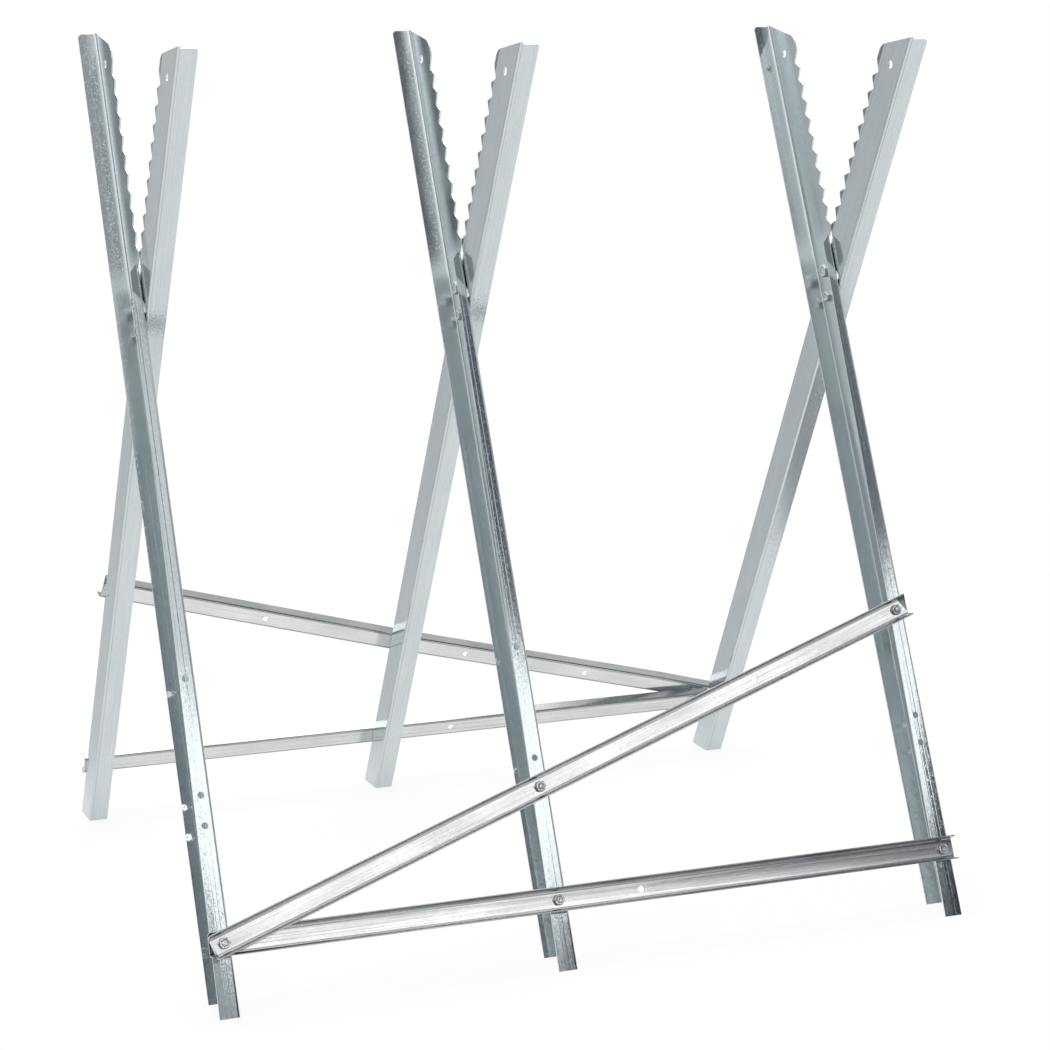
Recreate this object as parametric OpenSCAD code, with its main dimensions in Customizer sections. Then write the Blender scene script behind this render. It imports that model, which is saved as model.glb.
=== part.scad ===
// Folding log saw stand: three crossed pairs of toothed sheet-steel legs, tied by rails in front and behind.
// X runs along the log, Y from front to back, Z up. The feet stand on Z = 0.

/* [Stand] */
// Distance between the left and right crossed pairs
span = 800; // [700:5:900]
// Distance from the left pair to the middle pair
mid_offset = 354; // [330:2:390]
// Lean of each leg from upright when the stand is open, in degrees
lean = 26.7; // [25:0.1:28]
// Height of the leg tops above the floor
stand_h = 920; // [863:1:983]
// Depth below the leg tops at which the outer folds of a pair cross
cross_drop = 329; // [318:1:343]
// Gap between the two webs of a pair
pair_gap = 0.4; // [0.3:0.05:0.6]

/* [Legs] */
// Thickness of the leg sheet
sheet = 1.5; // [1.2:0.1:2]
// Inside radius of the leg bends
bend_r = 1.5; // [1:0.1:2.5]
// Width of the outer flange, over the web
outer_flange = 21; // [18:0.5:24]
// Depth of the outer flange's top below the web's, along the fold
flange_drop = 2.6; // [1.4:0.2:4]
// Rounding of the outer flange's top corner
flange_corner = 4; // [2:0.5:6]
// Width of the web at the top of the inner flange
web_top = 43; // [41.5:0.5:46]
// Turn of the inner fold from the outer fold, in degrees
fold_taper = 0.41; // [0.2:0.01:0.6]
// Width of the inner flange at its top
inner_flange_top = 10; // [8:0.5:12]
// Width of the inner flange at the low rail hole
inner_flange_low = 20; // [18:0.5:23]
// Slope down of the inner flange's top corner
flange_chamfer = 8; // [5:0.5:12]

/* [Teeth] */
// Length of the leg above its top notch, along the outer fold
top_length = 55.7; // [51.4:0.1:63.4]
// Number of teeth on a leg
teeth = 10; // [8:1:10]
// Distance from tooth to tooth
tooth_pitch = 21.2; // [20:0.1:21.5]
// Depth of a tooth
tooth_depth = 10; // [7:0.5:11]
// Slope of the web's top edge down towards the V, in degrees
top_slope = 9; // [0:1:10]
// Rounding of the web's top corner
corner_r = 16; // [10:1:18]
// Diameter of the hole near the top of the web
top_hole_d = 9; // [6:0.5:12]
// Distance of that hole below the leg top, along the outer fold
top_hole_drop = 46.5; // [41.5:0.5:51.5]
// Distance of that hole from the outer fold
top_hole_inset = 24; // [20:0.5:28]

/* [Rails] */
// Thickness of the rail sheet
rail_sheet = 1.2; // [1:0.1:1.6]
// Inside radius of the rail bends
rail_bend_r = 1.2; // [0.8:0.1:2]
// Width of a rail over its bends
rail_w = 23; // [20:0.5:25]
// Depth of the rail lips, over the web
rail_lip = 11; // [8:0.5:13]
// Lean of the lips outwards, in degrees
lip_splay = 8; // [2:0.5:12]
// Distance from an end hole to the rail's end
rail_end = 12.5; // [11:0.5:14]
// Height of the low rail's holes above the floor
low_rail_h = 64; // [55:1:80]
// Distance up the leg from the low rail hole to the high one
rise = 264; // [240:1:280]
// Distance of the rail holes from the web's outer face
hole_inset = 10; // [9.5:0.25:11]
// Distance of a diagonal rail's spare hole from its end hole
spare_hole = 194; // [180:1:205]
// Length over which a diagonal rail lies on the low rail's lips
lap_length = 84; // [80:1:90]
// Length of a diagonal rail that lies flat before the middle leg's hole
mid_seat = 18; // [14:1:22]
// Diameter of the rail holes
rail_hole_d = 7; // [6.4:0.1:7.5]

/* [Fasteners] */
// Thread diameter of the rail and pivot bolts
bolt_d = 6; // [5:0.5:6]
// Width across flats of their heads and nuts
bolt_af = 10; // [8:0.5:10]
// Height of their heads
bolt_head_h = 4; // [3:0.5:5]
// Height of their nuts
bolt_nut_h = 5; // [4:0.5:6]
// Thread diameter of the stop bolts
stop_d = 8; // [6:0.5:8]
// Width across flats of the stop bolts' heads and nuts
stop_af = 13; // [10:0.5:13]
// Height of the stop bolts' heads
stop_head_h = 5.3; // [4:0.1:6]
// Height of the stop bolts' nuts
stop_nut_h = 6.5; // [5:0.1:7]
// Outside diameter of the stop washers
washer_d = 15; // [13:0.5:15]
// Thickness of the stop washers
washer_h = 1.6; // [1:0.1:2]
// Length of thread past a nut
thread_end = 2; // [1:0.5:4]

/* [Fold] */
// Height of the pivot above the crossing of the outer folds
pivot_rise = 31; // [30:0.5:33]
// Distance of the stop bolt from the pivot
stop_radius = 29.5; // [29:0.1:30]
// Turn of the stop bolt from the front leg's line, in degrees
stop_turn = 14.5; // [14:0.1:16]
// Angle through which the stand folds, in degrees
fold_angle = 44; // [30:1:44]

/* [Fits] */
// Running clearance of a pivot bolt in a leg, on the radius
pivot_clear = 0.05; // [0.02:0.01:0.1]
// Clearance of a bolt in its nut, on the radius
thread_clear = 0.05; // [0.02:0.01:0.1]
// Clearance of the stop bolt in its slot, on the radius
slot_clear = 0.3; // [0.25:0.05:0.4]
// Gap between the rear web and what turns over it
face_clear = 0.3; // [0.25:0.05:0.5]

/* [Hidden] */
$fn = 48;
// Longer than a leg, for what the floor or the top cuts off
far = 1500;
leg_out_r = bend_r + sheet;
web_lap = 2 * leg_out_r;
flange_over = sheet / 2;
rail_out_r = rail_bend_r + rail_sheet;
tooth_edge = web_top + tooth_depth;
cross_z = stand_h - cross_drop;
// Places up a leg from the crossing of the outer folds: the leg's top and the inner flange's top
top_a = cross_drop / cos(lean);
flange_top = top_a - top_length - (teeth + 0.5) * tooth_pitch;
// Turn of the web's top edge from square across the leg, and how far the sheet runs past it before it is cut
top_turn = lean + top_slope;
top_over = 10;
top_corner_over = 0.05;
frame_x = [-span / 2, mid_offset - span / 2, span / 2];
places = ["left", "mid", "right"];
sides = ["front", "rear"];
bolted = ["low_rail", "diagonal_rail", "shared_joint"];
// Distance of the low rail hole below the inner flange's top, along the inner fold
low_hole = (cross_z + flange_top * cos(lean) + web_top * sin(lean) - low_rail_h) / cos(lean - fold_taper);
flange_slope = (inner_flange_low - inner_flange_top) / (low_hole - flange_chamfer);
foot_over = 150;
flange_end = low_hole + foot_over;
// Rail holes up the inner flange from the low one
mid_share = mid_offset / span;
leg_holes = [0, rise * mid_share, rise * (1 - mid_share), rise];
// Diagonal rail: length between its end holes and its slope on the flange's face
diagonal = sqrt(span * span + rise * rise);
diagonal_turn = atan(rise / span);
lift = rail_lip;
// Pivot and stop bolt on the front leg's web, as [from the outer fold, up the leg]
pivot_at = [pivot_rise * sin(lean), pivot_rise * cos(lean)];
stop_at = pivot_at + stop_radius * [sin(stop_turn), cos(stop_turn)];
// Direction of the stop bolt on the rear leg's web at rest, turned from the leg's line
slot_start = 2 * lean - stop_turn;
stack = sheet + pair_gap + sheet + face_clear;

leg_colour = [0.62, 0.66, 0.68];
rail_colour = [0.82, 0.83, 0.83];
bolt_colour = [0.7, 0.71, 0.72];

// Points of an arc, from one angle to another
function arc(centre, r, from, to, steps = 8) =
    [for (k = [0 : steps], turn = from + (to - from) * k / steps) centre + r * [cos(turn), sin(turn)]];

// Frames of reference on a front leg

// X is along the stand, Y up the outer fold and Z from the outer fold towards the V
module on_outer_flange() {
    on_web() rotate([0, 90, 0]) children();
}

// X is from the outer fold towards the V, Y up the leg and Z away from the paired leg
module on_web() {
    translate([0, 0, cross_z]) rotate([-lean, 0, 0]) rotate([90, 0, -90]) children();
}

// X is along the stand, Y up the inner fold from the flange's top and Z out of the flange
module on_inner_flange() {
    on_outer_flange() translate([0, flange_top, web_top]) rotate([fold_taper, 0, 0]) children();
}

// The rear half is the front half turned half round
module turned(side) {
    rotate([0, 0, side == "rear" ? 180 : 0]) children();
}

// Legs

// Quarter bend, extruded along a fold, with a strip of web beside it
module bend(length) {
    linear_extrude(length) polygon([
        [leg_out_r, -web_lap],
        each arc([0, 0], leg_out_r, 0, 90),
        each arc([0, 0], bend_r, 90, 0),
        [bend_r, -web_lap]
    ]);
}

module web_outline() {
    apex = [web_top, flange_top];
    edge = leg_out_r + web_lap / 2;
    fold_in = edge * [cos(fold_taper), -sin(fold_taper)];
    polygon([
        [edge, flange_top - flange_end],
        apex - fold_in - flange_end * [sin(fold_taper), cos(fold_taper)],
        apex - fold_in,
        apex,
        for (k = [0 : teeth - 1]) each [
            [tooth_edge, flange_top + (k + 0.5) * tooth_pitch],
            [web_top, flange_top + (k + 1) * tooth_pitch]
        ],
        [tooth_edge, flange_top + (teeth + 0.5) * tooth_pitch],
        [tooth_edge, top_a],
        [edge, top_a]
    ]);
}

// What the sloping top edge and its rounded corner cut off the sheet
module top_cut() {
    corner_b = tooth_edge - corner_r + top_corner_over;
    corner = [corner_b, top_a - corner_b * tan(top_turn) - corner_r / cos(top_turn)];
    on_web() translate([0, 0, -sheet]) linear_extrude(outer_flange + 2 * sheet) polygon([
        [tooth_edge + top_over, corner[1]],
        each arc(corner, corner_r, 0, 90 - top_turn),
        [-top_over, top_a + top_over * tan(top_turn)],
        [tooth_edge + top_over, top_a + top_over * tan(top_turn)]
    ]);
}

module outer_flange_outline() {
    polygon([
        [-leg_out_r, -far],
        [-leg_out_r, top_a - flange_drop],
        each arc([flange_corner - outer_flange, top_a - flange_drop - flange_corner], flange_corner, 90, 180),
        [-outer_flange, -far]
    ]);
}

module inner_flange_outline() {
    polygon([
        [-leg_out_r, flange_over],
        [-inner_flange_top, -flange_chamfer],
        [-inner_flange_top - flange_slope * (flange_end - flange_chamfer), -flange_end],
        [-leg_out_r, -flange_end]
    ]);
}

// Bent sheet of one leg, before its holes, with the web's outer face on X = 0
module leg_sheet() {
    intersection() {
        union() {
            on_web() linear_extrude(sheet) web_outline();
            on_outer_flange() {
                linear_extrude(sheet) outer_flange_outline();
                translate([-leg_out_r, -far, leg_out_r]) rotate([-90, 0, 0])
                    bend(far + top_a + top_over / 2);
            }
            on_inner_flange() {
                translate([0, 0, -sheet]) linear_extrude(sheet) inner_flange_outline();
                translate([-leg_out_r, flange_over, -leg_out_r]) rotate([90, 0, 0])
                    bend(flange_over + flange_end);
            }
        }
        translate([-far / 2, -far / 2, 0]) cube(far);
    }
}

module leg_holes_cut() {
    for (up = leg_holes) on_inner_flange() translate([-hole_inset, up - low_hole, -leg_out_r])
        cylinder(d = rail_hole_d, h = 2 * leg_out_r);
    web_hole([top_hole_inset, top_a - top_hole_drop], top_hole_d);
    web_hole(pivot_at, bolt_d + 2 * pivot_clear);
}

// Hole through the web, at [from the outer fold, up the leg]
module web_hole(at, d) {
    on_web() translate([at[0], at[1], -sheet]) cylinder(d = d, h = 3 * sheet);
}

// Arc slot about the pivot, from the stop bolt's place at rest through the fold
module stop_slot() {
    slot_r = stop_d / 2 + slot_clear;
    first = 90 - slot_start;
    last = first + fold_angle;
    on_web() translate([pivot_at[0], pivot_at[1], -sheet]) linear_extrude(3 * sheet) polygon([
        each arc([0, 0], stop_radius - slot_r, last, first),
        each arc(stop_radius * [cos(first), sin(first)], slot_r, first - 180, first, 12),
        each arc([0, 0], stop_radius + slot_r, first, last),
        each arc(stop_radius * [cos(last), sin(last)], slot_r, last, last + 180, 12)
    ]);
}

module leg(side) {
    color(leg_colour) turned(side) translate([-pair_gap / 2, 0, 0]) difference() {
        leg_sheet();
        top_cut();
        leg_holes_cut();
        if (side == "front") web_hole(stop_at, stop_d + 2 * pivot_clear);
        else stop_slot();
    }
}

// Rails, on the face of the inner flanges: X along the stand, Y up the leg, Z out

// Half of the rail's section, from its middle to a lip and back, as [across, out]
function half_section(side) = let(
        across = rail_w / 2 - rail_out_r,
        centre = [across, rail_out_r],
        out = [sin(lip_splay), cos(lip_splay)],
        outer_end = centre + rail_out_r * [cos(lip_splay), -sin(lip_splay)],
        inner_end = centre + rail_bend_r * [cos(lip_splay), -sin(lip_splay)],
        outer_tip = outer_end + out * (rail_lip - outer_end[1]) / out[1],
        inner_tip = inner_end + out * (rail_lip - inner_end[1]) / out[1],
        points = concat(arc(centre, rail_out_r, -90, -lip_splay, 4), [outer_tip, inner_tip],
            arc(centre, rail_bend_r, -lip_splay, -90, 4))
    ) [for (p = points) [side * p[0], p[1]]];

function rail_section() = let(left = half_section(-1))
    concat(half_section(1), [for (k = [len(left) - 1 : -1 : 0]) left[k]]);

module rail_holes(along) {
    for (x = along) translate([x, 0, -rail_lip]) cylinder(d = rail_hole_d, h = lift + 2 * rail_lip);
}

// Low rail from its first hole at X = 0
module low_rail_shape() {
    difference() {
        translate([-rail_end, 0, 0]) rotate([90, 0, 90])
            linear_extrude(span + 2 * rail_end) polygon(rail_section());
        rail_holes([0, mid_offset, span - mid_offset, span]);
    }
}

// Diagonal rail from its first hole at X = 0, lifted by the low rail's lips and sprung down to the mid leg
module diagonal_rail_shape(mid) {
    section = rail_section();
    count = len(section);
    stations = [[-rail_end, lift], [lap_length, lift], [mid - mid_seat, 0], [diagonal + rail_end, 0]];
    last = len(stations) - 1;
    difference() {
        polyhedron(
            points = [for (s = stations, p = section) [s[0], p[0], p[1] + s[1]]],
            faces = [
                [for (k = [0 : count - 1]) k],
                for (s = [0 : last - 1], k = [0 : count - 1], next = (k + 1) % count)
                    [s * count + next, s * count + k, (s + 1) * count + k, (s + 1) * count + next],
                [for (k = [count - 1 : -1 : 0]) last * count + k]
            ]
        );
        rail_holes([0, spare_hole, diagonal * mid_share]);
        rail_holes([diagonal * (1 - mid_share), diagonal - spare_hole, diagonal]);
    }
}

// Place on the flange's face of the hole that both rails share
module at_shared_hole(side) {
    turned(side) on_inner_flange() translate([-span / 2 - pair_gap / 2 - hole_inset, -low_hole, 0]) children();
}

// Share of the span, from the shared hole, at which the middle leg stands
function mid_part(side) = side == "front" ? mid_share : 1 - mid_share;

module low_rail(side) {
    color(rail_colour) at_shared_hole(side) low_rail_shape();
}

module diagonal_rail(side) {
    color(rail_colour) at_shared_hole(side) rotate([0, 0, diagonal_turn])
        diagonal_rail_shape(diagonal * mid_part(side));
}

// Fasteners, along Z

// Hexagon with bevelled corners on its far end
module hexagon(af, h) {
    rim = af / 2 / cos(30);
    intersection() {
        cylinder(r = rim, h = h, $fn = 6);
        rotate_extrude() polygon([[0, 0], [rim, 0], [rim, h - (rim - af / 2) * tan(30)], [af / 2, h], [0, h]]);
    }
}

// Bolt with its head above Z = 0
module bolt(d, af, head_h, length) {
    hexagon(af, head_h);
    translate([0, 0, -length]) cylinder(d = d, h = length);
}

// Nut below Z = 0
module nut(d, af, h) {
    difference() {
        mirror([0, 0, 1]) hexagon(af, h);
        translate([0, 0, -2 * h]) cylinder(d = d + 2 * thread_clear, h = 3 * h);
    }
}

// Places of the fasteners of a rail, as [along X, up the flange, seat of the head above the flange]
function rail_places(side, piece) =
    piece == "shared_joint" ? [[0, 0, lift + rail_sheet]] :
    piece == "low_rail" ? [for (x = [mid_part(side), 1]) [x * span, 0, rail_sheet]] :
    [for (x = [mid_part(side), 1]) [x * span, x * rise, rail_sheet]];

module rail_bolts(side, piece) {
    color(bolt_colour) for (p = rail_places(side, piece)) at_shared_hole(side) translate(p)
        bolt(bolt_d, bolt_af, bolt_head_h, p[2] + sheet + bolt_nut_h + thread_end);
}

module rail_nuts(side, piece) {
    color(bolt_colour) for (p = rail_places(side, piece)) at_shared_hole(side) translate([p[0], p[1], -sheet])
        nut(bolt_d, bolt_af, bolt_nut_h);
}

// Place on a pair's front web, Z away from the paired leg, with Z = 0 on the web's inner face
module at_crossing(place, at) {
    x = frame_x[search([place], places)[0]] - pair_gap / 2;
    translate([x, 0, 0]) on_web() translate([at[0], at[1], sheet]) children();
}

module pivot_bolt(place) {
    color(bolt_colour) at_crossing(place, pivot_at)
        bolt(bolt_d, bolt_af, bolt_head_h, stack + bolt_nut_h + thread_end);
}

module pivot_nut(place) {
    color(bolt_colour) at_crossing(place, pivot_at) translate([0, 0, -stack]) nut(bolt_d, bolt_af, bolt_nut_h);
}

module stop_bolt(place) {
    color(bolt_colour) at_crossing(place, stop_at)
        bolt(stop_d, stop_af, stop_head_h, stack + washer_h + stop_nut_h + thread_end);
}

module stop_washer(place) {
    color(bolt_colour) at_crossing(place, stop_at) translate([0, 0, -stack - washer_h]) difference() {
        cylinder(d = washer_d, h = washer_h);
        translate([0, 0, -washer_h]) cylinder(d = stop_d + 2 * thread_clear, h = 3 * washer_h);
    }
}

module stop_nut(place) {
    color(bolt_colour) at_crossing(place, stop_at) translate([0, 0, -stack - washer_h])
        nut(stop_d, stop_af, stop_nut_h);
}

for (side = sides) {
    for (k = [0 : len(places) - 1])
        translate([frame_x[k], 0, 0]) leg(side);
    low_rail(side);
    diagonal_rail(side);
    for (piece = bolted) {
        rail_bolts(side, piece);
        rail_nuts(side, piece);
    }
}
for (place = places) {
    pivot_bolt(place);
    pivot_nut(place);
    stop_bolt(place);
    stop_washer(place);
    stop_nut(place);
}
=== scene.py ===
from math import radians
import bmesh
import bpy
import numpy as np
from mathutils import Matrix


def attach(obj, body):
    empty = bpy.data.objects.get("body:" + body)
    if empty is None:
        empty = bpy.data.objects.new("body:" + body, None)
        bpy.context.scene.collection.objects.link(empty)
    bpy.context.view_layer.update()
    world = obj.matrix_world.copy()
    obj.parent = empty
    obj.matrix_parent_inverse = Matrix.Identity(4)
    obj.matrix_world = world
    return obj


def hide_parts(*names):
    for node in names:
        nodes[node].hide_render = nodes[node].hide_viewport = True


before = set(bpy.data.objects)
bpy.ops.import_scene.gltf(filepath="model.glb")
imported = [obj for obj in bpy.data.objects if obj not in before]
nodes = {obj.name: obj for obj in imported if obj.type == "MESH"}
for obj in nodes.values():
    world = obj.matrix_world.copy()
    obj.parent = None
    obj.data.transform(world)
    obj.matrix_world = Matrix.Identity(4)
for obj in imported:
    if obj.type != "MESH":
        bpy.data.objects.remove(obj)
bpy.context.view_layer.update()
print("frame loaded:", len(nodes), "nodes")

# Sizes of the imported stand, in metres, that the looks follow
stand = {
    "pairX": {"left": -0.4, "mid": -0.046, "right": 0.4},
    "lean": radians(26.7),  # of each leg from upright
    "crossZ": 0.591,  # where the outer folds of a pair cross
    "webTop": 0.043,  # web width at the top of the inner flange
    "flangeTop": 0.0899,  # up the leg from the crossing
    "foldTaper": radians(0.41),  # of the inner fold from the outer one
    "bendR": 0.003,
    "sheet": 0.0015,
    "diagonalRise": 0.264 / 0.8,  # of a diagonal rail on the flange's face
}


# Node helpers

def link(tree, a, b):
    tree.links.new(a, b)


def feed(tree, socket, value):
    if isinstance(value, (int, float)):
        socket.default_value = value
    elif isinstance(value, tuple):
        socket.default_value = value if socket.type == "VECTOR" else (*value, 1)
    else:
        link(tree, value, socket)


def mathNode(tree, kind, a, b=None, c=None):
    node = tree.nodes.new("ShaderNodeMath")
    node.operation = kind
    for socket, value in zip(node.inputs, (a, b, c)):
        if value is not None:
            feed(tree, socket, value)
    return node.outputs[0]


def times(tree, first, *others):
    for value in others:
        first = mathNode(tree, "MULTIPLY", first, value)
    return first


def without(tree, mask):
    return mathNode(tree, "SUBTRACT", 1.0, mask)


def vectorMath(tree, kind, a, b=None):
    node = tree.nodes.new("ShaderNodeVectorMath")
    node.operation = kind
    feed(tree, node.inputs[0], a)
    if b is not None:
        feed(tree, node.inputs[1], b)
    return node.outputs["Value" if kind in ("DOT_PRODUCT", "LENGTH") else "Vector"]


def axesOf(tree, vector):
    node = tree.nodes.new("ShaderNodeSeparateXYZ")
    link(tree, vector, node.inputs[0])
    return node.outputs


def attribute(tree, name, output="Fac"):
    node = tree.nodes.new("ShaderNodeAttribute")
    node.attribute_name = name
    return node.outputs[output]


def mapRange(tree, value, fromMin, fromMax, toMin=0.0, toMax=1.0):
    node = tree.nodes.new("ShaderNodeMapRange")
    node.interpolation_type = "SMOOTHSTEP"
    for socket, number in zip(node.inputs, (value, fromMin, fromMax, toMin, toMax)):
        feed(tree, socket, number)
    return node.outputs[0]


def window(tree, value, low, high, soft):
    # One between low and high, fading to nothing over soft on either side
    rise = mapRange(tree, value, low - soft, low + soft)
    fall = mapRange(tree, value, high - soft, high + soft, 1.0, 0.0)
    return times(tree, rise, fall)


def mixColour(tree, factor, a, b):
    node = tree.nodes.new("ShaderNodeMix")
    node.data_type = "RGBA"
    for socket, value in ((node.inputs[0], factor), (node.inputs[6], a), (node.inputs[7], b)):
        feed(tree, socket, value)
    return node.outputs[2]


def noise(tree, vector, stretch, detail):
    node = tree.nodes.new("ShaderNodeTexNoise")
    node.inputs["Scale"].default_value = 1.0
    node.inputs["Detail"].default_value = detail
    link(tree, vectorMath(tree, "MULTIPLY", vector, stretch), node.inputs["Vector"])
    return node.outputs[0]


# Zinc skin shared by the sheet and the fasteners: tilted crystals, rolling streaks, faint clouds

zincInputs = {  # the group's inputs, and the key of each in a look
    "Crystal Scale": "crystalScale",
    "Crystals": "crystals",
    "Sparkle": "sparkle",
    "Streaks": "streaks",
    "Clouds": "clouds",
}
zincPattern = {
    "leanFrom": 0.86,  # share of the crystals that don't lean far to the free edge
    "streaks": {"stretch": (5.0, 620.0, 0.0), "detail": 4.0},  # along the sheet
    "clouds": {"stretch": (16.0, 40.0, 16.0), "detail": 3.0},
}


def makeZincGroup():
    tree = bpy.data.node_groups.new("zincSkin", "ShaderNodeTree")
    face = tree.interface
    face.new_socket("Grain", in_out="INPUT", socket_type="NodeSocketVector")
    for name in zincInputs:
        face.new_socket(name, in_out="INPUT", socket_type="NodeSocketFloat")
    for name in ("Tone", "Facets", "Blotch"):
        face.new_socket(name, in_out="OUTPUT", socket_type="NodeSocketFloat")
    put = tree.nodes.new("NodeGroupInput")
    out = tree.nodes.new("NodeGroupOutput")
    grain = put.outputs["Grain"]

    cells = tree.nodes.new("ShaderNodeTexVoronoi")  # one tone and one tilt to a crystal
    link(tree, grain, cells.inputs["Vector"])
    link(tree, put.outputs["Crystal Scale"], cells.inputs["Scale"])
    away = vectorMath(tree, "SUBTRACT", grain, cells.outputs["Position"])
    turn = vectorMath(tree, "SUBTRACT", cells.outputs["Color"], (0.5, 0.5, 0.5))
    tilt = vectorMath(tree, "DOT_PRODUCT", away, turn)
    split = tree.nodes.new("ShaderNodeSeparateColor")
    link(tree, cells.outputs["Color"], split.inputs[0])
    few = mathNode(tree, "GREATER_THAN", split.outputs[2], zincPattern["leanFrom"])
    toEdge = times(tree, axesOf(tree, away)[1], mathNode(tree, "SIGN", axesOf(tree, grain)[1]))
    lean = times(tree, toEdge, times(tree, few, put.outputs["Sparkle"]))

    streaks = noise(tree, grain, **zincPattern["streaks"])
    clouds = noise(tree, grain, **zincPattern["clouds"])
    tone = 0.5  # each pattern shifts it up or down from here
    for value, amount in ((split.outputs[0], "Crystals"), (streaks, "Streaks"), (clouds, "Clouds")):
        shift = mathNode(tree, "SUBTRACT", value, 0.5)
        tone = mathNode(tree, "MULTIPLY_ADD", shift, put.outputs[amount], tone)
    tone = mathNode(tree, "MAXIMUM", mathNode(tree, "MINIMUM", tone, 1.0), 0.0)
    link(tree, tone, out.inputs["Tone"])
    link(tree, mathNode(tree, "SUBTRACT", tilt, lean), out.inputs["Facets"])
    link(tree, clouds, out.inputs["Blotch"])
    return tree


zincSkin = makeZincGroup()


def zincMaterial(name, look):
    material = bpy.data.materials.new(name)
    material.use_nodes = True
    tree = material.node_tree
    shader = tree.nodes["Principled BSDF"]
    onSheet = "marks" in look
    if onSheet:
        grain = attribute(tree, "sheetGrain", "Vector")
    else:
        grain = tree.nodes.new("ShaderNodeTexCoord").outputs["Object"]
    skin = tree.nodes.new("ShaderNodeGroup")
    skin.node_tree = zincSkin
    link(tree, grain, skin.inputs["Grain"])
    for socket, key in zincInputs.items():
        skin.inputs[socket].default_value = look[key]
    colour = mixColour(tree, skin.outputs["Tone"], look["dark"], look["light"])
    rough = mapRange(tree, skin.outputs["Tone"], 0.0, 1.0, *look["rough"])
    height = times(tree, skin.outputs["Facets"], look["tilt"])
    if onSheet:
        marks = look["marks"](tree, axesOf(tree, grain), skin.outputs["Blotch"], look)
        # the sheet's painted light and painted shade, and its dark lines
        for key in ("paintedLight", "darkAndShade", "line"):
            if key in marks:
                colour = mixColour(tree, marks[key], colour, look[key])
        if "rub" in marks:
            rough = mathNode(tree, "ADD", rough, marks["rub"])
        height = mathNode(tree, "ADD", height, marks["form"])
    else:
        # painted shade and painted highlight on the fasteners, ring by ring
        colour = mixColour(tree, attribute(tree, "paintedRingShade"), look["darkAndShade"], colour)
    link(tree, colour, shader.inputs["Base Color"])
    link(tree, rough, shader.inputs["Roughness"])
    shader.inputs["Metallic"].default_value = look["metallic"]
    bump = tree.nodes.new("ShaderNodeBump")
    bump.inputs["Strength"].default_value = 1.0
    bump.inputs["Distance"].default_value = 1.0  # the height is in metres
    link(tree, height, bump.inputs["Height"])
    link(tree, bump.outputs[0], shader.inputs["Normal"])
    return material


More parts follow.
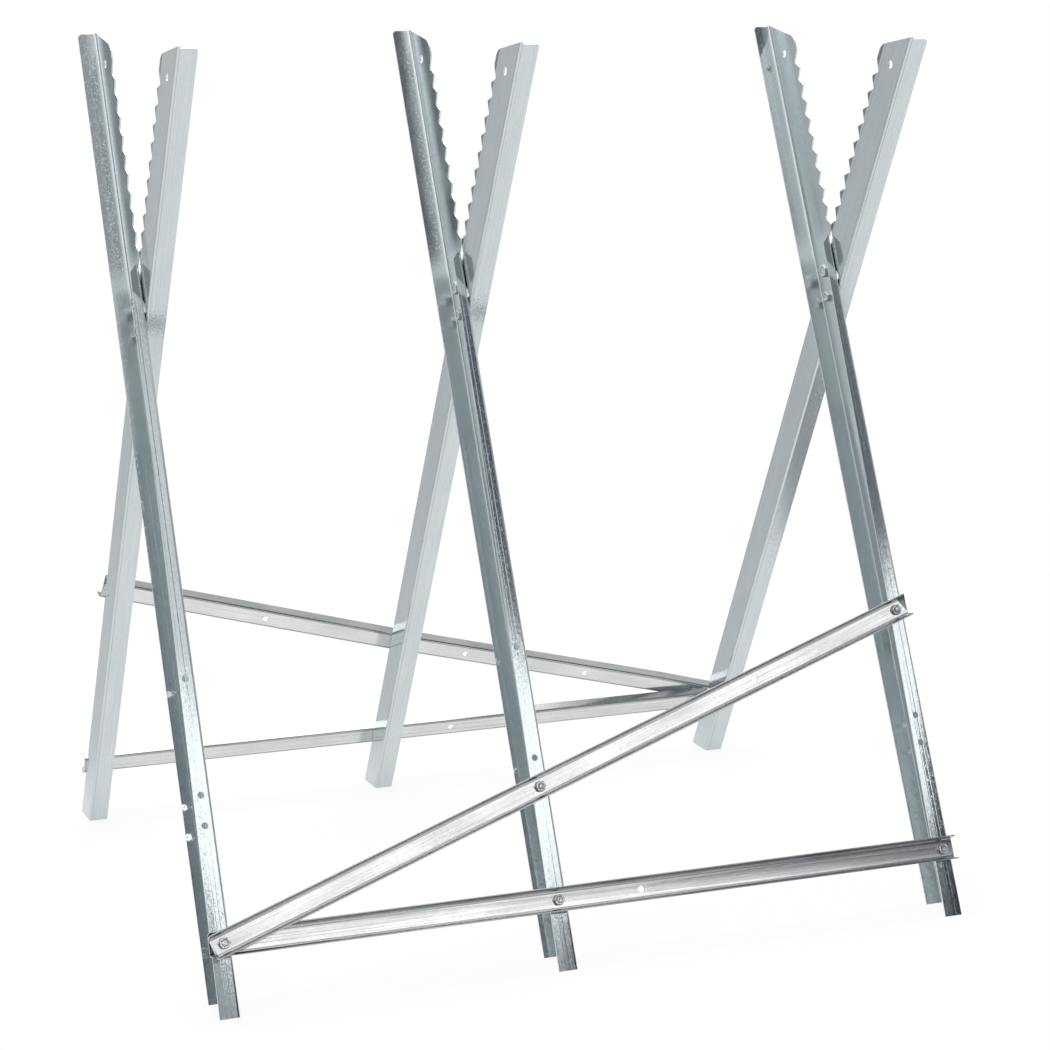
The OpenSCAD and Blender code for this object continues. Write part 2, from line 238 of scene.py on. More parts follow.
def legMarks(tree, axes, blotch, look):
    # Dark lines where each bend starts and ends, and two fine roll grooves along the inner flange.
    # Inside the channel the outer flange curls into its bend, by the square of the way left to the fold,
    # and above the inner flange the sheet gets painted shade away from the fold, unevenly.
    # Round the crossing the inside is rubbed, and the inner flange's upper end gets painted shade outside,
    # where the two legs of a pair darken each other in reflection. Cut edges and the bend get a painted
    # highlight, and the inside lower down gets painted light.
    along, fromOuter, fromInner = axes
    face = attribute(tree, "sheetFace")  # its sign runs from one side to the other over a cut edge
    inside = mapRange(tree, face, *look["insideFace"])
    edge = mapRange(tree, mathNode(tree, "ABSOLUTE", face), *look["edgeFace"], 1.0, 0.0)
    # painted highlight along the bend, inside the channel
    bright = times(tree, inside, window(tree, fromOuter, *look["paintedHighlightBend"], look["bendSoft"]))
    lines = 0.0
    for axis in (fromOuter, fromInner):
        line = window(tree, mathNode(tree, "ABSOLUTE", axis), *look["lineBand"], look["lineSoft"])
        lines = mathNode(tree, "MAXIMUM", line, lines)
    lines = times(tree, lines, without(tree, bright), look["lineDepth"])

    form = 0.0
    for place in look["grooveAt"]:
        away = mathNode(tree, "ABSOLUTE", mathNode(tree, "SUBTRACT", fromInner, place))
        groove = mapRange(tree, away, 0.0, look["grooveWide"], -look["grooveDeep"], 0.0)
        form = mathNode(tree, "ADD", groove, form)
    past = mathNode(tree, "MAXIMUM", mathNode(tree, "SUBTRACT", fromInner, look["grooveAt"][1]), 0.0)
    form = mathNode(tree, "MULTIPLY_ADD", past, look["edgeSlope"], form)
    near = mathNode(tree, "SUBTRACT", look["curlWide"], mathNode(tree, "ABSOLUTE", fromOuter))
    near = times(tree, mathNode(tree, "MAXIMUM", near, 0.0), inside)
    curl = times(tree, near, near, look["curl"])
    form = mathNode(tree, "MULTIPLY_ADD", curl, attribute(tree, "sheetCurl"), form)

    upper = mapRange(tree, along, *look["darkAndShadeAlong"])
    # painted light inside the channel lower down, and painted highlight on cut edges and the bend
    paintedLight = times(tree, inside, without(tree, upper), look["paintedLightDepth"])
    paintedLight = mathNode(tree, "MAXIMUM", paintedLight, mathNode(tree, "MAXIMUM", bright, edge))
    onFlange = mapRange(tree, mathNode(tree, "MULTIPLY", fromOuter, -1.0), *look["darkAndShadeFlange"])
    onWeb = mapRange(tree, fromOuter, *look["darkAndShadeWeb"])
    patch = mapRange(tree, blotch, *look["patches"], *look["darkAndShadeDepth"])
    # painted shade inside, above the crossing, away from the fold, in patches, as deep as each leg's share
    darkAndShade = times(tree, mathNode(tree, "MAXIMUM", onFlange, onWeb), patch, times(tree, inside, upper))
    darkAndShade = times(tree, darkAndShade, attribute(tree, "sheetShade"))
    # painted shade outside the inner flange's upper end, where the legs of a pair mirror each other
    end = mathNode(tree, "MULTIPLY_ADD", fromInner, look["endSlope"], along)
    end = times(tree, mapRange(tree, end, *look["darkAndShadeEnd"]), look["endDepth"])
    end = times(tree, end, mapRange(tree, fromInner, *look["endFrom"]), without(tree, inside))
    darkAndShade = times(tree, mathNode(tree, "MAXIMUM", darkAndShade, end), without(tree, edge))
    rub = times(tree, inside, window(tree, along, *look["rubAlong"], look["rubSoft"]), look["rubRough"])
    rub = mathNode(tree, "MULTIPLY_ADD", edge, look["edgeRough"], rub)
    return {"line": lines, "darkAndShade": darkAndShade, "paintedLight": paintedLight, "rub": rub, "form": form}


def railMarks(tree, axes, blotch, look):
    # The web is hollow by a slope of its own times the square of the way from its middle, and twisted
    # a little. The lips are darker in patches, with a painted highlight along the end of the bend.
    across, hollow = axes[1], axes[2]
    whole = mathNode(tree, "ABSOLUTE", across)
    reach = mathNode(tree, "MINIMUM", whole, look["crownWide"])
    signed = times(tree, reach, mathNode(tree, "SIGN", across))
    form = mathNode(tree, "MULTIPLY_ADD", signed, attribute(tree, "sheetTwist"),
                    times(tree, reach, reach, hollow))
    away = mathNode(tree, "ABSOLUTE", mathNode(tree, "SUBTRACT", whole, look["lineAt"]))
    lines = mapRange(tree, away, 0.0, look["lineWide"], look["lineDepth"], 0.0)
    # painted highlight along the end of the bend, where the lips are left lighter
    lipHighlight = times(tree, window(tree, whole, *look["paintedHighlightLip"], look["lipHighlightSoft"]), look["lipHighlightDepth"])
    lip = mathNode(tree, "SUBTRACT", mapRange(tree, whole, *look["darkAndShadeLip"]), lipHighlight)
    darkAndShade = times(tree, lip, mapRange(tree, blotch, *look["patches"], *look["darkAndShadeDepth"]))
    return {"line": lines, "darkAndShade": darkAndShade, "form": form}


legLook = {
    "marks": legMarks,
    "dark": (0.49, 0.545, 0.565),
    "light": (0.70, 0.745, 0.755),
    "rough": (0.085, 0.055),
    "metallic": 0.97,
    "crystalScale": 760.0,
    "crystals": 0.2,
    "sparkle": 4.5,
    "streaks": 0.7,
    "clouds": 0.5,
    "tilt": 0.010,  # slope of the crystals
    "insideFace": (-0.2, 0.2),  # of the face's sign
    "edgeFace": (0.8, 0.98),
    "line": (0.10, 0.11, 0.12),
    "lineBand": (0.0027, 0.0031),  # from either fold
    "lineSoft": 0.0002,
    "lineDepth": 0.6,
    "grooveAt": (0.0086, 0.0126),  # from the inner fold
    "grooveWide": 0.0009,
    "grooveDeep": 0.00004,
    "edgeSlope": -0.035,  # of the strip outside the second groove
    "edgeRough": 0.4,
    "rubAlong": (-0.10, 0.10),  # up the leg
    "rubSoft": 0.02,
    "rubRough": 0.16,
    "curlWide": 0.014,  # from the outer fold
    "curl": 5.0,  # per metre
    "paintedHighlightBend": (-0.0032, -0.0004),  # painted highlight on the bend, from the outer fold
    "bendSoft": 0.0003,
    "paintedLight": (0.84, 0.88, 0.89),  # painted highlight on cut edges and the bend, and painted light in the channel behind the inner flange
    "paintedLightDepth": 0.3,  # of the painted light in the channel
    # painted shade inside above the crossing and at the inner flange's upper end
    "darkAndShade": (0.15, 0.17, 0.175),
    "darkAndShadeAlong": (0.085, 0.12),  # up the leg
    "darkAndShadeFlange": (0.005, 0.019),  # from the outer fold
    "darkAndShadeWeb": (0.010, 0.034),
    "patches": (0.25, 0.75),  # of the clouds
    "darkAndShadeDepth": (0.40, 0.92),
    "darkAndShadeEnd": (0.046, 0.050),  # painted shade at the inner flange's upper end, where the legs mirror each other: up the leg, less on the way out to the free edge
    "endSlope": -1.3,
    "endDepth": 0.75,
    "endFrom": (0.0015, 0.0025),  # from the inner fold
}
railLook = {
    "marks": railMarks,
    "dark": (0.56, 0.575, 0.58),
    "light": (0.86, 0.865, 0.86),
    "rough": (0.17, 0.11),
    "metallic": 0.95,
    "crystalScale": 420.0,
    "crystals": 0.10,
    "sparkle": 0.0,
    "streaks": 1.1,
    "clouds": 0.9,
    "tilt": 0.004,
    "line": (0.12, 0.13, 0.135),
    "lineAt": 0.0090,  # from the middle of the web, as the rest
    "lineWide": 0.0009,
    "lineDepth": 0.7,
    "crownWide": 0.009,
    # darker lips, in patches
    "darkAndShade": (0.30, 0.31, 0.315),
    "darkAndShadeLip": (0.0085, 0.0100),
    "patches": (0.25, 0.75),
    "darkAndShadeDepth": (0.55, 0.95),
    # painted highlight along the end of the bend, from the middle of the web
    "paintedHighlightLip": (0.0122, 0.0132),
    "lipHighlightSoft": 0.0004,
    "lipHighlightDepth": 0.75,
}
boltLook = {
    "dark": (0.62, 0.63, 0.64),
    "light": (0.96, 0.97, 0.97),
    "rough": (0.24, 0.13),
    "metallic": 0.97,
    "crystalScale": 900.0,
    "crystals": 0.5,
    "sparkle": 1.0,
    "streaks": 0.1,
    "clouds": 0.9,
    "tilt": 0.12,
    # painted shade for the dark rings of the fasteners
    "darkAndShade": (0.09, 0.095, 0.10),
}
legZinc = zincMaterial("legZinc", legLook)
railZinc = zincMaterial("railZinc", railLook)
boltZinc = zincMaterial("boltZinc", boltLook)
print("materials made")


# Sheet pieces: a merged copy of the CAD sheet with eased edges and a grain that follows the bends

sheetEdge = {"merge": 1e-6, "ease": 0.00025, "segments": 2, "sharp": radians(35)}
# How deep the painted shade is on the outer flange near the crossing and at its top, and on the web, and
# the share of the curl
legShadeAndCurl = {
    "front": {"left": (0.9, 0.3, 1.5, 0.25), "mid": (1.0, 1.0, 1.0, 1.0), "right": (1.0, 0.1, 0.2, 1.0)},
    "rear": {"left": (0.8, 0.7, 0.9, 0.6), "mid": (0.8, 0.8, 0.8, 0.8), "right": (0.7, 0.8, 0.7, 0.8)},
    "along": (0.10, 0.34),  # up the leg, near the crossing and at its top
}
railHollow = {"low_rail": 0.6, "diagonal_rail": -0.3}  # per metre, of a rail's web
railTwist = {"low_rail": -0.028, "diagonal_rail": 0.0, "from": 0.1}  # slope per metre towards one end
railStation = {"digits": 4, "reach": 0.0002, "lip": 0.0125}  # of the section's lowest height along a rail


def pointsOf(mesh):
    flat = np.empty(len(mesh.vertices) * 3)
    mesh.vertices.foreach_get("co", flat)
    return flat.reshape(-1, 3)


def mergeDoubles(mesh, distance):
    bm = bmesh.new()
    bm.from_mesh(mesh)
    bmesh.ops.remove_doubles(bm, verts=bm.verts, dist=distance)
    bm.to_mesh(mesh)
    bm.free()


def legGrain(points, place, side):
    # Along the leg, across the unrolled sheet from the outer fold, the same from the inner fold,
    # one on the face inside the channel or minus one outside, the depth of the painted shade, and the share
    # of the curl
    turn = 1 if side == "front" else -1
    bendR = stand["bendR"]
    x, y = turn * (points[:, 0] - stand["pairX"][place]), turn * points[:, 1]
    z = points[:, 2] - stand["crossZ"]
    s, c = np.sin(stand["lean"]), np.cos(stand["lean"])
    along, web, depth = y * s + z * c, z * s - y * c, -x
    innerFold = stand["webTop"] - (stand["flangeTop"] - along) * np.tan(stand["foldTaper"])
    onOuter = web < bendR
    below = (along < stand["flangeTop"]) | (depth > bendR)  # the inner flange's end is cut aslant
    onInner = (web > innerFold - bendR) & below
    across = np.where(onOuter, web - depth, np.where(onInner, innerFold + depth, web))
    toFold = np.where(onOuter, web, np.where(onInner, innerFold - web, depth))  # into the channel
    inBend = (onOuter | onInner) & (depth < bendR)
    toFold = np.where(inBend, bendR - np.hypot(bendR - toFold, bendR - depth), toFold)
    face = np.where(toFold > stand["sheet"] / 2, 1.0, -1.0)
    low, top, onWeb, curl = legShadeAndCurl[side][place]
    shadeShare = np.where(across > 0, onWeb, np.interp(along, legShadeAndCurl["along"], (low, top)))
    return np.stack([along, across, across - innerFold, face, shadeShare, np.full_like(along, curl)], axis=1)


def railGrain(points, rail, side):
    # Along the rail, across the unrolled section from the middle of its web, how hollow the web is,
    # and its twist
    turn = 1 if side == "front" else -1
    x, y, z = turn * points[:, 0], turn * points[:, 1], points[:, 2]
    slope = stand["lean"] - stand["foldTaper"]
    up, out = y * np.sin(slope) + z * np.cos(slope), z * np.sin(slope) - y * np.cos(slope)
    rise = np.arctan(stand["diagonalRise"]) if rail == "diagonal_rail" else 0.0
    along, across = x * np.cos(rise) + up * np.sin(rise), up * np.cos(rise) - x * np.sin(rise)
    across = across - (across.max() + across.min()) / 2
    across = across + np.sign(across) * (out - np.interp(along, *floorOf(along, out)))
    twist = railTwist[rail] * np.maximum(railTwist["from"] - along, 0)
    return np.stack([along, across, np.full_like(along, railHollow[rail]), twist], axis=1)


def floorOf(along, out):
    # Lowest height of the section at each station along a rail, where the station reaches the web
    stations = np.unique(np.round(along, railStation["digits"]))
    lowest = np.array([out[np.abs(along - s) < railStation["reach"]].min() for s in stations])
    keep = lowest < lowest.min() + railStation["lip"]
    return stations[keep], lowest[keep]


sheetKinds = {
    "leg": {"grain": legGrain, "extras": ("sheetFace", "sheetShade", "sheetCurl"), "zinc": legZinc},
    "rail": {"grain": railGrain, "extras": ("sheetTwist",), "zinc": railZinc},
}


def dress(piece, nodeName, body):
    bpy.context.scene.collection.objects.link(piece)
    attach(piece, body)
    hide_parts(nodeName)


def sheetCopy(name, kind, place, side):
    mesh = nodes[name].data.copy()
    mergeDoubles(mesh, sheetEdge["merge"])
    grain = sheetKinds[kind]["grain"](pointsOf(mesh), place, side)
    cloth = mesh.attributes.new("sheetGrain", "FLOAT_VECTOR", "POINT")
    cloth.data.foreach_set("vector", grain[:, :3].ravel())
    for column, key in zip(grain.T[3:], sheetKinds[kind]["extras"]):
        extra = mesh.attributes.new(key, "FLOAT", "POINT")
        extra.data.foreach_set("value", np.ascontiguousarray(column))
    mesh.shade_smooth()
    mesh.set_sharp_from_angle(angle=sheetEdge["sharp"])
    mesh.materials.clear()
    mesh.materials.append(sheetKinds[kind]["zinc"])
    piece = bpy.data.objects.new(name + "_sheet", mesh)
    ease = piece.modifiers.new("ease", "BEVEL")
    ease.width = sheetEdge["ease"]
    ease.segments = sheetEdge["segments"]
    ease.limit_method = "ANGLE"
    ease.angle_limit = sheetEdge["sharp"]
    flatten = piece.modifiers.new("flatten", "WEIGHTED_NORMAL")
    flatten.keep_sharp = True
    dress(piece, name, side + "_frame")


for side in ("front", "rear"):
    for place in stand["pairX"]:
        sheetCopy(f"{side}_leg_{place}", "leg", place, side)
    for rail in railHollow:
        sheetCopy(f"{side}_{rail}", "rail", rail, side)
print("legs and rails dressed")


# Fasteners: rings of points carried along the axis of each CAD bolt, nut or washer

fastener = {
    "around": 72,
    "rim": 0.95,  # of the flats' half width, where the bevel meets the end face
    "bevel": np.tan(radians(30)),
    "bevelDeep": 0.2,  # of the flats' half width
    "headRows": 7,  # over a head's bevel
    "nutRows": 6,
    "dish": 0.72,  # of the flats' half width, where a head's dish starts
    "dishDeep": 0.0006,
    "dishReach": (0.0, 0.5, 0.86, 0.97, 1.0, 1.08),  # of the dish's radius
    "dishDrop": (1.0, 1.0, 0.9, 0.3, 0.06, 0.0),  # of its depth
    "threadDeep": 0.00042,
    "threadFrom": 0.00005,  # under the head
    "rowsToPitch": 6,
    "endReach": 0.36,  # of the diameter, the radius of the flat end
    "boreGap": 0.00004,
    "flare": 0.0004,  # of a nut's bore
    "flareDeep": 0.0003,
    "edge": 0.0002,  # of a washer
    "apart": 0.05,  # least way between two solids of a node
    "merge": 1e-7,
    "sharp": radians(24),
}
boltKinds = {
    "rail": {"d": 0.006, "pitch": 0.001, "af": 0.010, "head": 0.004, "nut": 0.005},  # and at the pivots
    "stop": {"d": 0.008, "pitch": 0.00125, "af": 0.013, "head": 0.0053, "nut": 0.0065},
    "washer": {"d": 0.008, "wide": 0.015, "thick": 0.0016},
}
paintedRingShades = {  # painted shade and highlight, from dark to bright, spread over the rings of a form
    "dish": (1.0, 0.85, 0.55, 0.25, 0.7, 1.0),
    "head": (1.0, 0.8, 0.5, 0.5, 0.5, 0.5, 0.45, 0.15),
    "under": (0.1,),
    "thread": (0.1, 0.8, 0.95),
    "end": (0.8, 1.0),
    "boreTop": (0.15, 0.7),
    "nutTop": (1.0, 1.0, 0.8, 0.8, 0.8, 0.8),
    "nutFoot": (0.8, 0.8, 0.8, 0.8, 1.0, 1.0),
    "boreFoot": (0.7, 0.15),
    "washer": (0.3, 0.9, 0.9, 0.5, 0.5, 0.9, 0.9, 0.3),
}


def ringAngles():
    return np.arange(fastener["around"]) * 2 * np.pi / fastener["around"]


def hexReach(half):
    # Half the width across flats over the cosine of the turn from a flat's middle
    return half / np.cos(np.mod(ringAngles(), np.pi / 3) - np.pi / 6)


def hexRows(half, heights, endHeight):
    # Hexagon cut by a cone: the lesser of the hexagon's reach and a rim that widens away from the end face
    away = np.abs(endHeight - heights)[:, None]
    rim = fastener["rim"] * half + away / fastener["bevel"]
    return np.minimum(hexReach(half)[None, :], rim), np.repeat(heights[:, None], fastener["around"], 1)


def roundRows(radii, heights):
    shape = (len(radii), fastener["around"])
    return tuple(np.broadcast_to(np.array(values)[:, None], shape) for values in (radii, heights))


def withPaintedShades(forms):
    # Each form's rows with one painted shade to a row, spread evenly where there are fewer shades than rows
    parts = []
    for key, rows in forms.items():
        steps, marks = np.linspace(0, 1, len(rows[0])), np.linspace(0, 1, len(paintedRingShades[key]))
        spread = np.interp(steps, marks, paintedRingShades[key])
        parts.append((*rows, np.repeat(spread[:, None], fastener["around"], 1)))
    return parts


def threadRows(kind, top, bottom):
    # Radius falls from the thread's crest by a sawtooth of height over pitch plus turn
    count = max(2, int((top - bottom) / kind["pitch"] * fastener["rowsToPitch"]))
    heights = np.linspace(top, bottom, count)[:, None]
    phase = np.mod(heights / kind["pitch"] + ringAngles()[None, :] / (2 * np.pi), 1.0)
    fade = np.clip((heights - bottom) / kind["pitch"], 0, 1)
    depth = fastener["threadDeep"] * (np.abs(2 * phase - 1) * fade + (1 - fade))
    return kind["d"] / 2 - depth, np.repeat(heights, fastener["around"], 1)


def boltRows(kind, length):
    # From the dished top over the bevelled hexagon, under the head and down the thread to the flat end
    half, head = kind["af"] / 2, kind["head"]
    bevel = np.linspace(head, head - fastener["bevelDeep"] * half, fastener["headRows"])
    return withPaintedShades({
        "dish": roundRows(fastener["dish"] * half * np.array(fastener["dishReach"]),
                          head - fastener["dishDeep"] * np.array(fastener["dishDrop"])),
        "head": hexRows(half, np.append(bevel, 0.0), head),
        "under": roundRows([kind["d"] / 2 - fastener["threadDeep"]], [0.0]),
        "thread": threadRows(kind, -fastener["threadFrom"], -length),
        "end": roundRows([kind["d"] * fastener["endReach"], 0], [-length, -length]),
    })


def nutRows(kind):
    # From the bore's upper edge over both bevelled ends and back up the bore
    half, deep = kind["af"] / 2, kind["nut"]
    bore, flare = kind["d"] / 2 + fastener["boreGap"], kind["d"] / 2 + fastener["flare"]
    bevel = fastener["bevelDeep"] * half
    return withPaintedShades({
        "boreTop": roundRows([bore, flare], [-fastener["flareDeep"], 0.0]),
        "nutTop": hexRows(half, np.linspace(0.0, -bevel, fastener["nutRows"]), 0.0),
        "nutFoot": hexRows(half, np.linspace(-deep + bevel, -deep, fastener["nutRows"]), -deep),
        "boreFoot": roundRows([flare, bore], [-deep, -deep + fastener["flareDeep"]]),
    })


def washerRows(kind):
    # Round the section, from the bore's upper edge over the rim and back
    bore, rim = kind["d"] / 2 + fastener["boreGap"], kind["wide"] / 2
    thick, edge = kind["thick"], fastener["edge"]
    rows = roundRows([bore, bore + edge, rim - edge, rim, rim, rim - edge, bore + edge, bore],
                     [-edge, 0, 0, -edge, edge - thick, -thick, -thick, edge - thick])
    return withPaintedShades({"washer": rows})


def ringMesh(parts, closed):
    # Rings of radius and height, joined each to the next, and the last to the first in a closed form
    radius, height, shades = (np.concatenate(rows) for rows in zip(*parts))
    turn = ringAngles()[None, :]
    points = np.stack([radius * np.cos(turn), radius * np.sin(turn), height], axis=2)
    rows, around = radius.shape
    row = np.arange(rows if closed else rows - 1)[:, None]
    step = np.arange(around)[None, :]
    a, b = row * around + step, row * around + (step + 1) % around
    c, d = ((row + 1) % rows) * around + (step + 1) % around, ((row + 1) % rows) * around + step
    return points.reshape(-1, 3), np.stack([a, d, c, b], axis=2).reshape(-1, 4), shades.ravel()


def spotsOf(name, axis, across):
    # Each solid of a node: the middle of its section at its highest point along the axis, and its length
    points = pointsOf(nodes[name].data)
    order = np.argsort(points[:, 0])
    cuts = np.nonzero(np.diff(points[order, 0]) > fastener["apart"])[0] + 1
    frames = np.stack([across, np.cross(axis, across), axis])
    spots = []
    for group in np.split(order, cuts):
        local = points[group] @ frames.T
        low, high = local.min(axis=0), local.max(axis=0)
        middle = (low + high) / 2
        spots.append((np.array([middle[0], middle[1], high[2]]) @ frames, high[2] - low[2]))
    return frames, spots


def fastenerPiece(name, kind, form, axis, across, body):
    frames, spots = spotsOf(name, axis, across)
    allPoints, allFaces, allShades, count = [], [], [], 0
    for top, length in spots:
        if form == "bolt":
            parts, lift = boltRows(kind, length - kind["head"]), kind["head"]
        else:
            parts, lift = (nutRows(kind) if form == "nut" else washerRows(kind)), 0.0
        points, faces, shades = ringMesh(parts, form != "bolt")
        allPoints.append((points - np.array([0, 0, lift])) @ frames + top)
        allFaces.append(faces + count)
        allShades.append(shades)
        count += len(points)
    mesh = bpy.data.meshes.new(name + "_turned")
    mesh.from_pydata(np.concatenate(allPoints).tolist(), [], np.concatenate(allFaces).tolist())
    shade = mesh.attributes.new("paintedRingShade", "FLOAT", "POINT")
    shade.data.foreach_set("value", np.concatenate(allShades))
    mergeDoubles(mesh, fastener["merge"])
    mesh.shade_smooth()
    mesh.set_sharp_from_angle(angle=fastener["sharp"])
    mesh.materials.append(boltZinc)
    dress(bpy.data.objects.new(name + "_turned", mesh), name, body)


def dressFasteners():
    slope = stand["lean"] - stand["foldTaper"]
    alongRow = np.array([1.0, 0.0, 0.0])
    for side, turn in (("front", 1), ("rear", -1)):
        axis = np.array([0, -turn * np.cos(slope), np.sin(slope)])
        for joint in ("low_rail", "diagonal_rail", "shared_joint"):
            for form in ("bolt", "nut"):
                name = f"{side}_{joint}_{form}s"
                fastenerPiece(name, boltKinds["rail"], form, axis, alongRow, side + "_frame")
    acrossLeg = np.array([0, -np.cos(stand["lean"]), np.sin(stand["lean"])])
    for place in stand["pairX"]:
        for part, kind, form in (("pivot_bolt", "rail", "bolt"), ("pivot_nut", "rail", "nut"),
                                 ("stop_bolt", "stop", "bolt"), ("stop_nut", "stop", "nut"),
                                 ("stop_washer", "washer", "washer")):
            fastenerPiece(f"{part}_{place}", boltKinds[kind], form, -alongRow, acrossLeg, "front_frame")


dressFasteners()
print("fasteners turned")


# Studio: a white floor, and a room that metal mirrors, dim in front with one long soft box

white = (1.0, 1.0, 1.0)
floorLook = {
    "size": 60.0,
    "paint": (0.92, 0.92, 0.92),
    "rough": 0.9,
    "glow": (0.90, 1.0),  # share of the floor that is plain white, under the stand and far off
    "glowReach": (0.9, 2.2),  # from the middle of the stand
    "far": (0.62, 0.63, 0.64),  # what metal mirrors of the floor behind the stand
    "farFrom": (0.2, 0.7),
    "right": (0.34, 0.36, 0.38),  # and of a strip of floor at the right
    "rightStrip": (0.60, 0.77),
    "stripSoft": 0.04,
}
room = {  # turns are to the right of straight front, lifts are up from level
    "lowLeft": (0.40, 0.42, 0.44),
    "lowRight": (0.035, 0.042, 0.06),
    "lowTurn": (radians(14), radians(31)),
    "highLeft": (0.92, 0.94, 0.95),
    "highFront": (0.32, 0.34, 0.36),
    "highTurn": (radians(19.5), radians(22.5)),
    "highLift": (radians(31), radians(33)),
    "topTurn": (radians(10), radians(25)),  # the same two, further up
    "topLift": (radians(41.5), radians(43)),
    "sideCard": (0.13, 0.145, 0.165),  # dark, high at the right
    "sideTurn": (radians(33), radians(60)),
    "sideTurnSoft": radians(2),
    "sideLift": (radians(38.5), radians(43)),
    "leftTop": (1.5, 1.52, 1.54),  # bright, high at the left
    "leftTurn": (radians(-50), radians(-33)),
    "leftTurnSoft": radians(1.5),
    "leftLift": (radians(42), radians(52)),
    "leftLiftSoft": radians(1.4),
    "card": (0.075, 0.085, 0.115),  # dark, above the box
    "cardTurn": (radians(22.0), radians(36.5)),
    "cardTurnSoft": radians(1.5),
    "cardLift": (radians(32), radians(40.8)),
    "cardLiftSoft": radians(0.8),
    "box": (1.75, 1.75, 1.75),
    "boxTop": (radians(37.3), radians(37.8)),  # straight in front of the stand
    "boxTopTilt": 0.147,  # how the box's upper edge sinks to the right
    "boxFoot": (radians(27.9), radians(28.9)),
    "boxFootTurn": radians(27),  # where its lower edge hangs deepest
    "boxFootBow": 0.7,
    "boxTurn": (radians(-10), radians(65)),
    "boxTurnSoft": radians(3),
    "backLeft": (0.60, 0.61, 0.62),  # the backdrop turns white from left to right
    "backAcross": (-0.12, 0.15),
    "backFrom": (-0.15, 0.35),  # where the room goes over into the backdrop
}
overhead = {"place": (-0.3, 1.0, 4.0), "size": 4.0, "power": 125.0}


def makeFloor():
    mesh = bpy.data.meshes.new("floor")
    h = floorLook["size"] / 2
    mesh.from_pydata([(-h, -h, 0), (h, -h, 0), (h, h, 0), (-h, h, 0)], [], [(0, 1, 2, 3)])
    floor = bpy.data.objects.new("floor", mesh)
    bpy.context.scene.collection.objects.link(floor)
    material = bpy.data.materials.new("floorWhite")
    material.use_nodes = True
    tree = material.node_tree
    shader = tree.nodes["Principled BSDF"]
    feed(tree, shader.inputs["Base Color"], floorLook["paint"])
    shader.inputs["Roughness"].default_value = floorLook["rough"]
    shader.inputs["Specular IOR Level"].default_value = 0.0
    glow = tree.nodes.new("ShaderNodeEmission")
    path = tree.nodes.new("ShaderNodeLightPath").outputs
    mirrored = path["Is Glossy Ray"]
    seen = mathNode(tree, "MAXIMUM", path["Is Camera Ray"], mirrored)
    seen = mathNode(tree, "MAXIMUM", seen, path["Is Transmission Ray"])
    spot = tree.nodes.new("ShaderNodeTexCoord").outputs["Object"]
    reach = vectorMath(tree, "LENGTH", spot)
    share = times(tree, seen, mapRange(tree, reach, *floorLook["glowReach"], *floorLook["glow"]))
    x, y = axesOf(tree, spot)[:2]
    far = times(tree, mapRange(tree, y, *floorLook["farFrom"]), mirrored)
    right = times(tree, window(tree, x, *floorLook["rightStrip"], floorLook["stripSoft"]), mirrored)
    colour = mixColour(tree, far, white, floorLook["far"])
    link(tree, mixColour(tree, right, colour, floorLook["right"]), glow.inputs[0])
    mix = tree.nodes.new("ShaderNodeMixShader")
    for socket, source in zip(mix.inputs, (share, shader.outputs[0], glow.outputs[0])):
        link(tree, source, socket)
    link(tree, mix.outputs[0], tree.nodes["Material Output"].inputs[0])
    mesh.materials.append(material)


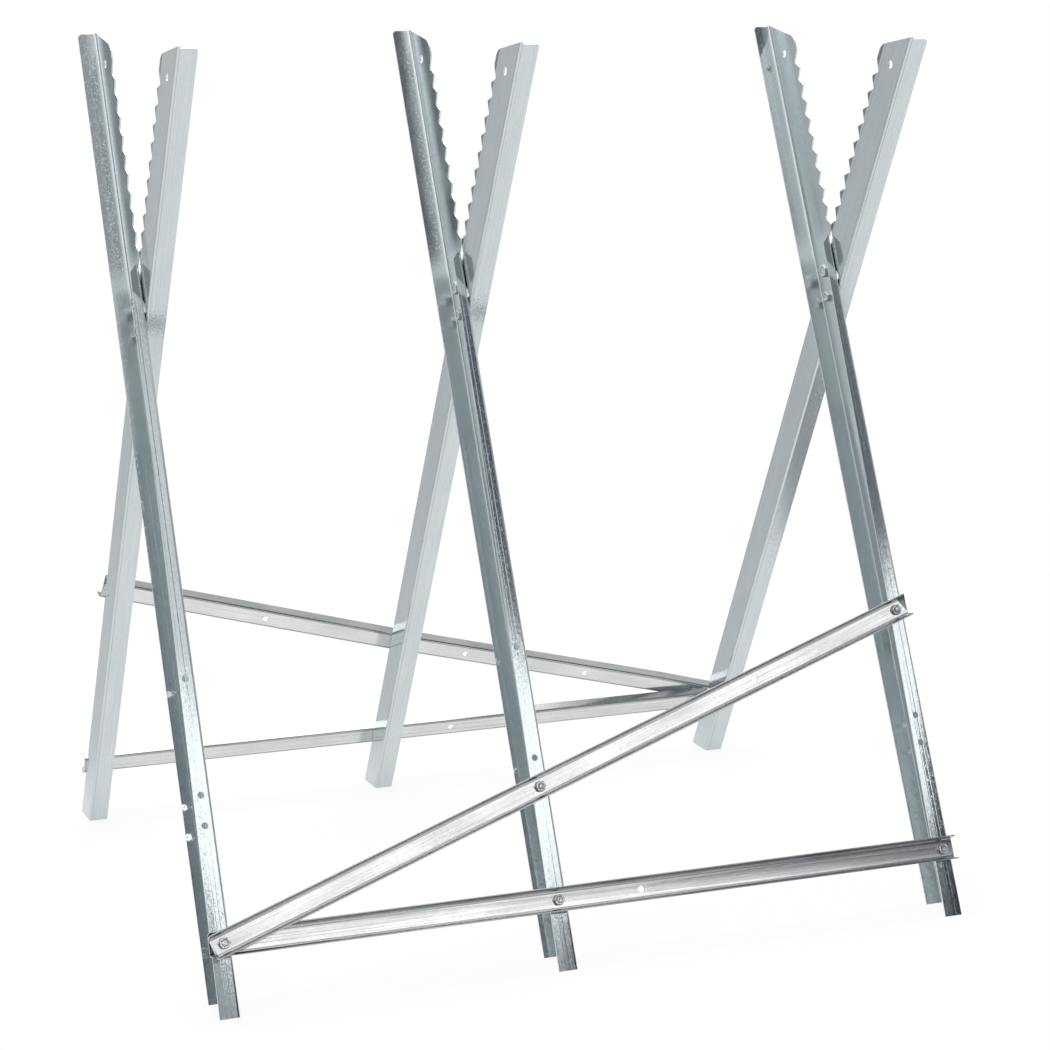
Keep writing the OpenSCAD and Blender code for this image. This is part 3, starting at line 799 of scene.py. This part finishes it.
def makeWorld():
    world = bpy.data.worlds.new("studio")
    bpy.context.scene.world = world
    world.use_nodes = True
    tree = world.node_tree
    x, y, z = axesOf(tree, tree.nodes.new("ShaderNodeTexCoord").outputs["Generated"])
    turn = mathNode(tree, "ARCTAN2", x, mathNode(tree, "MULTIPLY", y, -1.0))
    lift = mathNode(tree, "ARCSINE", z)

    low = mixColour(tree, mapRange(tree, turn, *room["lowTurn"]), room["lowLeft"], room["lowRight"])
    high = mixColour(tree, mapRange(tree, turn, *room["highTurn"]), room["highLeft"], room["highFront"])
    top = mixColour(tree, mapRange(tree, turn, *room["topTurn"]), room["highLeft"], room["highFront"])
    high = mixColour(tree, mapRange(tree, lift, *room["topLift"]), high, top)
    side = times(tree, window(tree, turn, *room["sideTurn"], room["sideTurnSoft"]),
                 mapRange(tree, lift, *room["sideLift"]))
    high = mixColour(tree, side, high, room["sideCard"])
    left = times(tree, window(tree, turn, *room["leftTurn"], room["leftTurnSoft"]),
                 window(tree, lift, *room["leftLift"], room["leftLiftSoft"]))
    high = mixColour(tree, left, high, room["leftTop"])
    colour = mixColour(tree, mapRange(tree, lift, *room["highLift"]), low, high)

    card = times(tree, window(tree, lift, *room["cardLift"], room["cardLiftSoft"]),
                 window(tree, turn, *room["cardTurn"], room["cardTurnSoft"]))
    colour = mixColour(tree, card, colour, room["card"])
    upper = mathNode(tree, "MULTIPLY_ADD", turn, room["boxTopTilt"], lift)
    off = mathNode(tree, "SUBTRACT", turn, room["boxFootTurn"])
    lower = mathNode(tree, "MULTIPLY_ADD", times(tree, off, off), -room["boxFootBow"], lift)
    box = times(tree, mapRange(tree, upper, *room["boxTop"], 1.0, 0.0),
                mapRange(tree, lower, *room["boxFoot"]),
                window(tree, turn, *room["boxTurn"], room["boxTurnSoft"]))
    colour = mixColour(tree, box, colour, room["box"])

    backdrop = mixColour(tree, mapRange(tree, x, *room["backAcross"]), room["backLeft"], white)
    colour = mixColour(tree, mapRange(tree, y, *room["backFrom"]), colour, backdrop)
    path = tree.nodes.new("ShaderNodeLightPath").outputs
    link(tree, mixColour(tree, path["Is Camera Ray"], colour, white), tree.nodes["Background"].inputs[0])


def makeOverhead():
    lamp = bpy.data.lights.new("overhead", "AREA")
    lamp.size = overhead["size"]
    lamp.energy = overhead["power"]
    obj = bpy.data.objects.new("overhead", lamp)
    bpy.context.scene.collection.objects.link(obj)
    obj.location = overhead["place"]


makeFloor()
makeWorld()
makeOverhead()
print("studio set")


# Camera, from a fit of the photograph's perspective

camera = {
    "eye": (-1.0965, -2.7894, 1.0441),
    "yaw": radians(21.531),
    "pitch": radians(-11.343),
    "roll": radians(0.282),
    "focal": 2786.5,  # in pixels of the 1050 pixel frame
    "centre": (504.2, 474.8),
    "frame": 1050,
    "sensor": 36.0,
    "farthest": 100,
}


def makeCamera():
    data = bpy.data.cameras.new("camera")
    data.sensor_width = camera["sensor"]
    data.lens = camera["focal"] / camera["frame"] * camera["sensor"]
    data.shift_x = 0.5 - camera["centre"][0] / camera["frame"]
    data.shift_y = camera["centre"][1] / camera["frame"] - 0.5
    data.clip_end = camera["farthest"]
    obj = bpy.data.objects.new("camera", data)
    bpy.context.scene.collection.objects.link(obj)
    turn = Matrix.Rotation(-camera["yaw"], 3, "Z") @ Matrix.Rotation(radians(90) + camera["pitch"], 3, "X")
    obj.rotation_euler = (turn @ Matrix.Rotation(camera["roll"], 3, "Z")).to_euler()
    obj.location = camera["eye"]
    bpy.context.scene.camera = obj


makeCamera()
bpy.context.scene.view_settings.view_transform = "Standard"
print("camera set")
